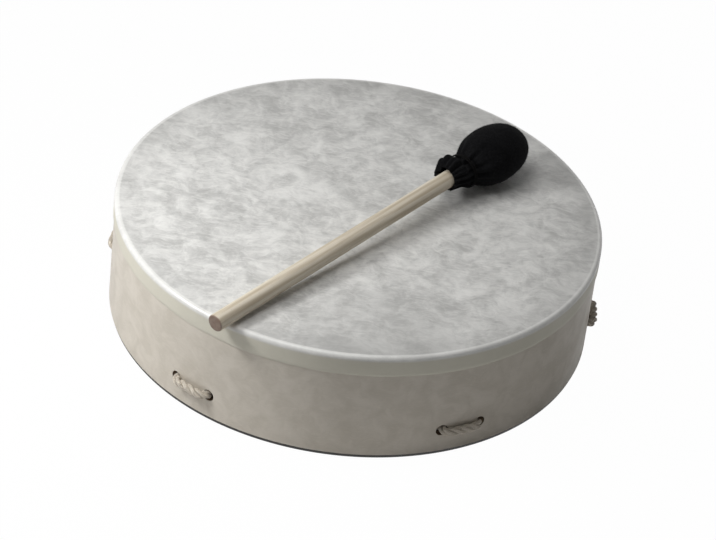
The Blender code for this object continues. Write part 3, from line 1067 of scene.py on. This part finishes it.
mallet = {
    "azimuth": math.radians(54.4),
    "offset": 0.0335,
    "overhang": 0.0162,
    "restInset": 0.0045,    # the stick rests this far in from the drum's outside
    "stickRadius": 0.00635,
    "stickLength": 0.3000,
    "stickRound": 0.0012,
    "beyondStick": 0.0210,
    "belly": 0.0215,
    "nose": 0.0340,
    "noseFullness": 0.83,
    "back": 0.0303,
    "crook": 0.0048,
    "crookFrom": 0.2520,
    "crookPower": 1.5,
    "slump": 0.0006,
    "slumpStart": 0.014,    # below the neck
    "slumpIn": 0.012,
    "slumpOut": 0.022,
    "cloth": 0.0020,
    "gather": 0.0040,
    "tieDiameter": 0.0012,
    "tieLoops": 2,
    "tieMargin": 0.0005,
    "seatGap": 0.0003,
    "turnGap": 0.0005,
    "steps": 48,
}
headCentre = mallet["stickLength"] + mallet["beyondStick"] - mallet["nose"]
neckInner = mallet["stickRadius"] + mallet["seatGap"]
neckOuter = neckInner + mallet["cloth"] + mallet["gather"]
tiePitch = mallet["tieDiameter"] + mallet["turnGap"]
neckLength = mallet["tieLoops"] * tiePitch + mallet["tieDiameter"] + 2 * mallet["tieMargin"]
neckTop = headCentre - mallet["back"] * math.sin(math.acos(neckOuter / mallet["belly"]))
neckFoot = neckTop - neckLength


def layMallet():
    restRadius = drum["radius"] - mallet["restInset"]
    halfChord = math.sqrt(restRadius**2 - mallet["offset"]**2)
    rise = (mallet["belly"] - mallet["stickRadius"]) / (headCentre - mallet["overhang"])
    tilt = math.asin(rise)
    along = Vector((math.cos(mallet["azimuth"]), math.sin(mallet["azimuth"]), 0))
    aside = Vector((along.y, -along.x, 0))
    axis = along * math.cos(tilt) + Vector((0, 0, math.sin(tilt)))
    height = drum["top"] + mallet["seatGap"] + mallet["stickRadius"] / math.cos(tilt)
    butt = aside * mallet["offset"] - along * halfChord + Vector((0, 0, height)) - axis * mallet["overhang"]
    return Matrix.Translation(butt) @ axis.to_track_quat("Z", "Y").to_matrix().to_4x4()


malletPlace = layMallet()


# stick: a turned dowel of pale close-grained wood

stick = {
    "rows": 60,
    "bow": 0.00012,
    "bowScale": 9,
    "ringScale": 90.0,
    "streakScale": 420.0,
    "poreScale": 3800.0,
    "streakDraw": (1.0, 1.0, 0.035),
    "poreDraw": (1.0, 1.0, 0.09),
    "wearSize": 30.0,
    "endRun": (0.0002, 0.0014),
    "deepTone": tone(0.465, 0.390, 0.285),
    "paleTone": tone(0.680, 0.615, 0.500),
    "poreTone": tone(0.330, 0.250, 0.175),
    "endTone": tone(0.130, 0.070, 0.048),
    "roughness": 0.48,
}


def stickMaterial():
    made, tree, shader, coords = newMaterial("turnedWood", stick["roughness"])
    local = addNode(tree, "ShaderNodeMapping", {
        "Vector": coords["Object"],
        "Location": malletPlace.to_translation(),
        "Rotation": malletPlace.to_euler(),
    }, vector_type="TEXTURE").outputs[0]
    drawn, fine = (addNode(tree, "ShaderNodeMapping", {"Vector": local, "Scale": stick[draw]}).outputs[0]
                   for draw in ("streakDraw", "poreDraw"))
    rings = addNode(tree, "ShaderNodeTexWave", {
        "Vector": drawn, "Scale": stick["ringScale"], "Distortion": 7.0, "Detail": 3.0, "Detail Scale": 0.8,
        "Detail Roughness": 0.6}, bands_direction="DIAGONAL").outputs["Fac"]
    streaks = clouds(tree, drawn, stick["streakScale"], 6.0, 0.62, 0.4)
    pores = remap(tree, clouds(tree, fine, stick["poreScale"], 2.0, 0.5), 0.62, 0.72)
    wear = addWear(tree, local, stick["wearSize"])
    mass = weigh(tree, (rings, 0.16), (streaks, 0.84))
    colour = blendTone(tree, remap(tree, mass, 0.28, 0.66), stick["deepTone"], stick["paleTone"])
    colour = stain(tree, colour, pores, 0.35, stick["poreTone"])
    colour = stain(tree, colour, wear["Smudge"], 0.18, stick["deepTone"])
    # the butt's end grain is darker, and is painted darker still as painted shade
    height = addNode(tree, "ShaderNodeSeparateXYZ", {0: local}).outputs[2]
    colour = stain(tree, colour, remap(tree, height, *stick["endRun"], 1.0, 0.0), 0.85, stick["endTone"])
    gloss = remap(tree, mass, 0.2, 0.7, stick["roughness"] + 0.12, stick["roughness"] - 0.06)
    feed(tree, shader, {"Base Color": colour, "Roughness": gloss})
    setRelief(tree, shader, calc(tree, "SUBTRACT", mass, pores), 0.15, 0.0003)
    return made


def makeStick():
    radius = mallet["stickRadius"]
    length = mallet["stickLength"]
    edge = mallet["stickRound"]
    profile = [(0.0, length), (radius * 0.5, length), *arc((radius - edge, length - edge), edge, 90, 0, 5)]
    profile += rows((radius, length - edge), (radius, edge), stick["rows"])
    profile += [*arc((radius - edge, edge), edge, 0, -90, 5), (radius * 0.5, 0.0), (0.0, 0.0)]
    shape = bmesh.new()
    spinProfile(shape, profile, mallet["steps"], closed=False)
    for point in shape.verts:
        # a dowel is never quite straight or round
        bow = noise.noise_vector(Vector((0.0, 0.0, point.co.z * stick["bowScale"]))) * stick["bow"]
        point.co.x += bow.x
        point.co.y += bow.y
    bmesh.ops.transform(shape, matrix=malletPlace, verts=shape.verts)
    piece = addPiece("malletStick", shapeToMesh("malletStick", shape), stickMaterial())
    placePiece(piece, "mallet", "stick_wood", "mallet_stick")
    print("stick made")


def eggPoint(belly, nose, back, angle):
    if angle <= 0.0:
        return belly * math.cos(angle), headCentre + back * math.sin(angle)
    full = mallet["noseFullness"]
    return belly * max(math.cos(angle), 0.0) ** full, headCentre + nose * math.sin(angle) ** full


# the head sits a little crooked on its stick, level with the drum's head, and its gathers hang
def crookAt(height):
    whole = headCentre + mallet["nose"] - mallet["crookFrom"]
    share = max(height - mallet["crookFrom"], 0.0) / whole
    aside = Vector((math.sin(mallet["azimuth"]), -math.cos(mallet["azimuth"]), 0))
    aside = aside * mallet["crook"] * share ** mallet["crookPower"]
    hang = ease((height - neckFoot + mallet["slumpStart"]) / mallet["slumpIn"])
    hang *= ease((headCentre - height) / mallet["slumpOut"])
    return malletPlace.to_3x3().inverted() @ (aside - Vector((0, 0, mallet["slump"] * hang)))


# core: a foam egg bored for the stick, out of sight inside the cover

foam = {
    "inset": 0.0040,
    "footWall": 0.0015,
    "rows": 28,
    "poreScale": 1100.0,
    "lumpScale": 300.0,
    "deepTone": tone(0.150, 0.145, 0.135),
    "paleTone": tone(0.300, 0.290, 0.270),
    "roughness": 0.9,
}


def foamMaterial():
    made, tree, shader, coords = newMaterial("coreFoam", foam["roughness"])
    place = coords["Object"]
    pores = addNode(tree, "ShaderNodeTexVoronoi", {"Vector": place, "Scale": foam["poreScale"]})
    lumps = calc(tree, "MULTIPLY", clouds(tree, place, foam["lumpScale"]), 0.5)
    # painted shade: darker in the pore hollows
    cells = calc(tree, "ADD", pores.outputs["Distance"], lumps)
    colour = blendTone(tree, remap(tree, cells, 0.2, 0.9), foam["deepTone"], foam["paleTone"])
    feed(tree, shader, {"Base Color": colour})
    setRelief(tree, shader, cells, 0.6, 0.0004)
    return made


def makeCore():
    belly, nose, back = (mallet[size] - foam["inset"] for size in ("belly", "nose", "back"))
    bore = mallet["stickRadius"] + mallet["seatGap"]
    end = mallet["stickLength"] + mallet["seatGap"]
    total = math.pi / 2 + math.acos((bore + foam["footWall"]) / belly)
    profile = [(0.0, headCentre + nose)]
    for i in range(1, foam["rows"] + 1):
        profile.append(eggPoint(belly, nose, back, math.pi / 2 - total * i / foam["rows"]))
    profile += [(bore, profile[-1][1]), (bore, end), (0.0, end)]
    shape = bmesh.new()
    spinProfile(shape, profile, mallet["steps"], closed=False)
    for point in shape.verts:
        point.co += crookAt(point.co.z)
    bmesh.ops.transform(shape, matrix=malletPlace, verts=shape.verts)
    piece = addPiece("coreFoam", shapeToMesh("coreFoam", shape), foamMaterial())
    placePiece(piece, "mallet", "core_foam", "mallet_core")
    print("core made")


# cover: fleece drawn over the core, gathered in pleats at the neck and left as a loose frill

cover = {
    "cloth": 0.0012,
    "eggRows": 44,
    "neckRows": 8,
    "frillRows": 16,
    "steps": 200,
    "foldDepth": 0.0036,
    "gatherFrom": 0.52,
    "gatherPower": 1.8,
    "lump": 0.0007,
    "lumpScale": 75,
    "lumpSink": 0.35,
    "lumpFrom": 0.15,
    "nip": 0.0002,
    "flutter": 0.0005,
    "stickGap": 0.0003,
    "softening": 0.2,
    # settling: made smaller by the slack, blown out by the pressure, no point further than the swell
    "slack": 0.0008,
    "heldRun": 0.018,
    "frames": 20,
    "quality": 5,
    "enlarged": 25.0,
    "mass": 0.02,
    "pressure": 22.0,
    "stiffness": 15.0,
    "bending": 0.5,
    "swell": 0.0016,
    # frill: where round the neck from its top, length, reach at a third, two thirds and the edge
    "frill": [
        (math.radians(-180), 0.0165, 0.0100, 0.0090, 0.0082),
        (math.radians(-130), 0.0150, 0.0125, 0.0110, 0.0095),
        (math.radians(-75), 0.0150, 0.0160, 0.0150, 0.0125),
        (math.radians(-32), 0.0165, 0.0170, 0.0148, 0.0108),
        (math.radians(-8), 0.0195, 0.0172, 0.0142, 0.0100),
        (math.radians(14), 0.0155, 0.0170, 0.0160, 0.0130),
        (math.radians(50), 0.0150, 0.0163, 0.0148, 0.0108),
        (math.radians(90), 0.0148, 0.0150, 0.0128, 0.0098),
        (math.radians(135), 0.0150, 0.0125, 0.0105, 0.0088),
        (math.radians(180), 0.0165, 0.0100, 0.0090, 0.0082),
    ],
    "tuftScale": 620.0,
    "fineScale": 2600.0,
    "wornScale": 95.0,
    "deepTone": tone(0.0026, 0.0026, 0.0029),
    "paleTone": tone(0.0092, 0.0092, 0.0100),
    "roughness": 0.95,
    "specular": 0.05,
    "sheen": 0.012,
    "sheenRoughness": 0.5,
}


# the frill's widest flap points up and to the left in the photograph
def flapZero():
    place, up = viewPlace()[::2]
    turn = malletPlace.to_3x3().inverted()
    axis = malletPlace.to_3x3() @ Vector((0, 0, 1))
    sight = malletPlace @ Vector((0, 0, headCentre)) - place
    upward = turn @ sight.cross(axis).normalized()
    if (malletPlace.to_3x3() @ upward).dot(up) < 0:
        upward = -upward
    return math.atan2(upward.y, upward.x)


flapTurn = flapZero()


# 1 on the top of a fold, 0 in the valley between two
def foldAt(turn):
    wave = 0.60 * math.cos(11 * turn + 0.7 + 0.5 * math.sin(2 * turn))
    wave += 0.35 * math.cos(17 * turn + 2.1 + 0.6 * math.sin(3 * turn)) + 0.20 * math.cos(5 * turn - 1.0)
    return min(max(0.5 + 0.43 * wave, 0.0), 1.0)


def frillAt(turn):
    away = (turn - flapTurn + math.pi) % fullTurn - math.pi
    marks = cover["frill"]
    last = next(i for i in range(1, len(marks)) if away <= marks[i][0] + tiny)
    before = marks[last - 1]
    after = marks[last]
    share = ease((away - before[0]) / (after[0] - before[0]))
    return [first + (second - first) * share for first, second in zip(before[1:], after[1:])]


# a smooth curve through evenly spaced values
def throughKnots(part, knots):
    at = min(part, 0.9999) * (len(knots) - 1)
    i = int(at)
    t = at - i
    first, second, third, fourth = (knots[min(max(k, 0), len(knots) - 1)] for k in range(i - 1, i + 3))
    bend = (2 * first - 5 * second + 4 * third - fourth) * t * t
    bend += (3 * (second - third) + fourth - first) * t ** 3
    return second + ((third - first) * t + bend) / 2


# a place on the cover: row 0 at the nose, 1 at the top of the neck, 2 at its foot, 3 at the frill's edge
def coverPoint(row, turn):
    fold = foldAt(turn)
    if row <= 1.0:
        total = math.pi / 2 + math.acos(neckOuter / mallet["belly"])
        angle = math.pi / 2 - total * row
        slack = cover["slack"]
        radius, height = eggPoint(mallet["belly"] - slack, mallet["nose"] - slack, mallet["back"], angle)
        gather = ease((row - cover["gatherFrom"]) / (1 - cover["gatherFrom"])) ** cover["gatherPower"]
        spot = polar(radius, turn, height) * cover["lumpScale"]
        lump = cover["lump"] * (noise.noise(spot) - cover["lumpSink"]) * ease(row / cover["lumpFrom"])
        radius += lump * (1 - 0.5 * gather) - gather * cover["foldDepth"] * (1 - fold)
    elif row <= 2.0:
        nip = cover["nip"] * math.sin(math.pi * (row - 1))
        radius = neckOuter - nip - cover["foldDepth"] * (1 - fold)
        height = neckTop - (row - 1) * neckLength
    else:
        part = row - 2
        length, *reaches = frillAt(turn)
        depth = cover["foldDepth"] * (1 - 0.3 * part)
        flutter = cover["flutter"] * part * math.cos(17 * turn + 3 * part)
        radius = throughKnots(part, (neckOuter, *reaches)) - depth * (1 - fold) + flutter
        radius = max(radius, neckInner + cover["cloth"] + cover["stickGap"])
        height = neckFoot - part * length * (0.94 + 0.12 * fold)
    return polar(radius, turn, height) + crookAt(height)


def coverMaterial():
    made, tree, shader, coords = newMaterial("blackFleece", cover["roughness"])
    place = coords["Object"]
    tufts = clouds(tree, place, cover["tuftScale"], 3.0, 0.65)
    fine = clouds(tree, place, cover["fineScale"], 2.0, 0.6)
    blot = clouds(tree, place, cover["wornScale"], 3.0, 0.55)
    mass = weigh(tree, (tufts, 0.65), (fine, 0.35))
    shade = weigh(tree, (mass, 0.75), (blot, 0.25))
    feed(tree, shader, {
        "Base Color": blendTone(tree, remap(tree, shade, 0.35, 0.68), cover["deepTone"], cover["paleTone"]),
        "Specular IOR Level": cover["specular"],
        "Sheen Weight": cover["sheen"],
        "Sheen Roughness": cover["sheenRoughness"],
    })
    setRelief(tree, shader, mass, 0.9, 0.0010)
    return made


# held at its neck and frill, the fleece is blown out against its gathers and kept as it settles
def settleCover(piece):
    mesh = piece.data
    upright = malletPlace.inverted()
    middle = malletPlace @ Vector((0, 0, headCentre))
    made = [vertex.co.copy() for vertex in mesh.vertices]
    held = piece.vertex_groups.new(name="held")
    for vertex, start in zip(mesh.vertices, made):
        height = (upright @ start).z
        held.add([vertex.index], ease((neckTop + cover["heldRun"] - height) / cover["heldRun"]), "REPLACE")
        vertex.co = (start - middle) * cover["enlarged"]
    cloth = piece.modifiers.new("fleece", "CLOTH")
    cloth.settings.quality = cover["quality"]
    cloth.settings.mass = cover["mass"]
    cloth.settings.tension_stiffness = cover["stiffness"]
    cloth.settings.compression_stiffness = cover["stiffness"]
    cloth.settings.shear_stiffness = cover["stiffness"] / 3
    cloth.settings.bending_stiffness = cover["bending"]
    cloth.settings.vertex_group_mass = held.name
    cloth.settings.use_pressure = True
    cloth.settings.uniform_pressure_force = cover["pressure"]
    cloth.settings.effector_weights.gravity = 0.0
    cloth.collision_settings.use_collision = False
    scene = bpy.context.scene
    for number in range(1, cover["frames"] + 1):
        scene.frame_set(number)
    settled = piece.evaluated_get(bpy.context.evaluated_depsgraph_get()).data
    for vertex, start, end in zip(mesh.vertices, made, settled.vertices):
        move = end.co / cover["enlarged"] + middle - start
        move *= min(1.0, cover["swell"] / max(move.length, tiny))
        vertex.co = start + move
    piece.modifiers.remove(cloth)
    piece.vertex_groups.remove(held)
    scene.frame_set(1)
    mesh.update()
    print("cover settled")


def makeCover():
    counts = (cover["eggRows"], cover["neckRows"], cover["frillRows"])
    marks = [part + i / count for part, count in enumerate(counts) for i in range(count)] + [3.0]
    shape = bmesh.new()
    spinProfile(shape, [(1.0, mark) for mark in marks], cover["steps"], closed=False)
    for point in shape.verts:
        point.co = coverPoint(point.co.z, math.atan2(point.co.y, point.co.x))
    bmesh.ops.remove_doubles(shape, verts=shape.verts, dist=merge)
    loose = [point for point in shape.verts if point.co.z < neckFoot]
    bmesh.ops.smooth_vert(shape, verts=loose, factor=cover["softening"],
                          use_axis_x=True, use_axis_y=True, use_axis_z=True)
    bmesh.ops.recalc_face_normals(shape, faces=shape.faces)
    bmesh.ops.transform(shape, matrix=malletPlace, verts=shape.verts)
    fleece = coverMaterial()
    piece = addPiece("malletCover", shapeToMesh("malletCover", shape, noCrease), fleece)
    settleCover(piece)
    thick = piece.modifiers.new("cloth", "SOLIDIFY")
    thick.thickness = cover["cloth"]
    thick.offset = -1.0
    placePiece(piece, "mallet", "cover_cloth", "mallet_cover")
    print("cover made")
    return piece, fleece


# nap: short fibres that stand off the fleece and soften its outline

nap = {
    "count": 9000,
    "length": 0.0013,
    "width": 0.00011,
    "stray": 0.55,
    "leastLift": 0.15,
    "curl": 0.2,
    "rooted": 0.0002,
    "waistAt": 0.55,
    "waistWidth": 0.7,
}


def makeNap(piece, fleece):
    mesh = piece.data
    faces = list(mesh.polygons)
    weights = [face.area for face in faces]
    shape = bmesh.new()
    for face in dice.choices(faces, weights, k=nap["count"]):
        corners = [mesh.vertices[i].co for i in face.vertices]
        shares = [dice.random() + 0.05 for corner in corners]
        foot = sum((corner * share for corner, share in zip(corners, shares)), Vector()) / sum(shares)
        stray = Vector((dice.gauss(0, 1), dice.gauss(0, 1), dice.gauss(0, 1)))
        lift = (face.normal + stray * nap["stray"]).normalized()
        if lift.dot(face.normal) < nap["leastLift"]:
            lift = (lift + face.normal).normalized()
        across = lift.orthogonal().normalized() * nap["width"] / 2
        length = nap["length"] * dice.uniform(0.5, 1.2)
        curl = stray.cross(lift) * nap["curl"] * length
        foot = foot - face.normal * nap["rooted"]
        middle = foot + lift * length * nap["waistAt"]
        narrow = across * nap["waistWidth"]
        base = [shape.verts.new(foot - across), shape.verts.new(foot + across)]
        waist = [shape.verts.new(middle + narrow), shape.verts.new(middle - narrow)]
        tip = shape.verts.new(foot + lift * length + curl)
        shape.faces.new(base + waist)
        shape.faces.new([waist[1], waist[0], tip])
    made = addPiece("malletNap", shapeToMesh("malletNap", shape, noCrease), fleece)
    placePiece(made, "mallet", "cover_cloth")
    print("nap made")


# tie: cord wound round the neck

tie = {
    "diameter": mallet["tieDiameter"],
    "bite": 0.0004,
    "loopPoints": 72,
    "step": 0.0005,
    "lay": 0.0036,
    "yarnPitch": 0.0012,
    "deepTone": tone(0.0025, 0.0025, 0.0025),
    "paleTone": tone(0.0085, 0.0082, 0.0080),
    "roughness": 0.85,
    "specular": 0.06,
}


def makeTie():
    radius = neckOuter - tie["bite"] + tie["diameter"] / 2
    start = neckFoot + mallet["tieMargin"] + tie["diameter"] / 2
    route = [Vector((radius, -tie["diameter"], start))]
    for i in range(mallet["tieLoops"] * tie["loopPoints"] + 1):
        turns = i / tie["loopPoints"]
        route.append(polar(radius, fullTurn * turns, start + tiePitch * turns))
    route.append(route[-1] + Vector((0.0, tie["diameter"], 0.0)))
    piece = addCord("neckTie", tie, route, lambda place: malletPlace @ (place + crookAt(place.z)))
    placePiece(piece, "mallet", "tie_cord", "mallet_tie")
    print("tie made")


makeStick()
makeCore()
coverPiece, fleece = makeCover()
makeNap(coverPiece, fleece)
makeTie()
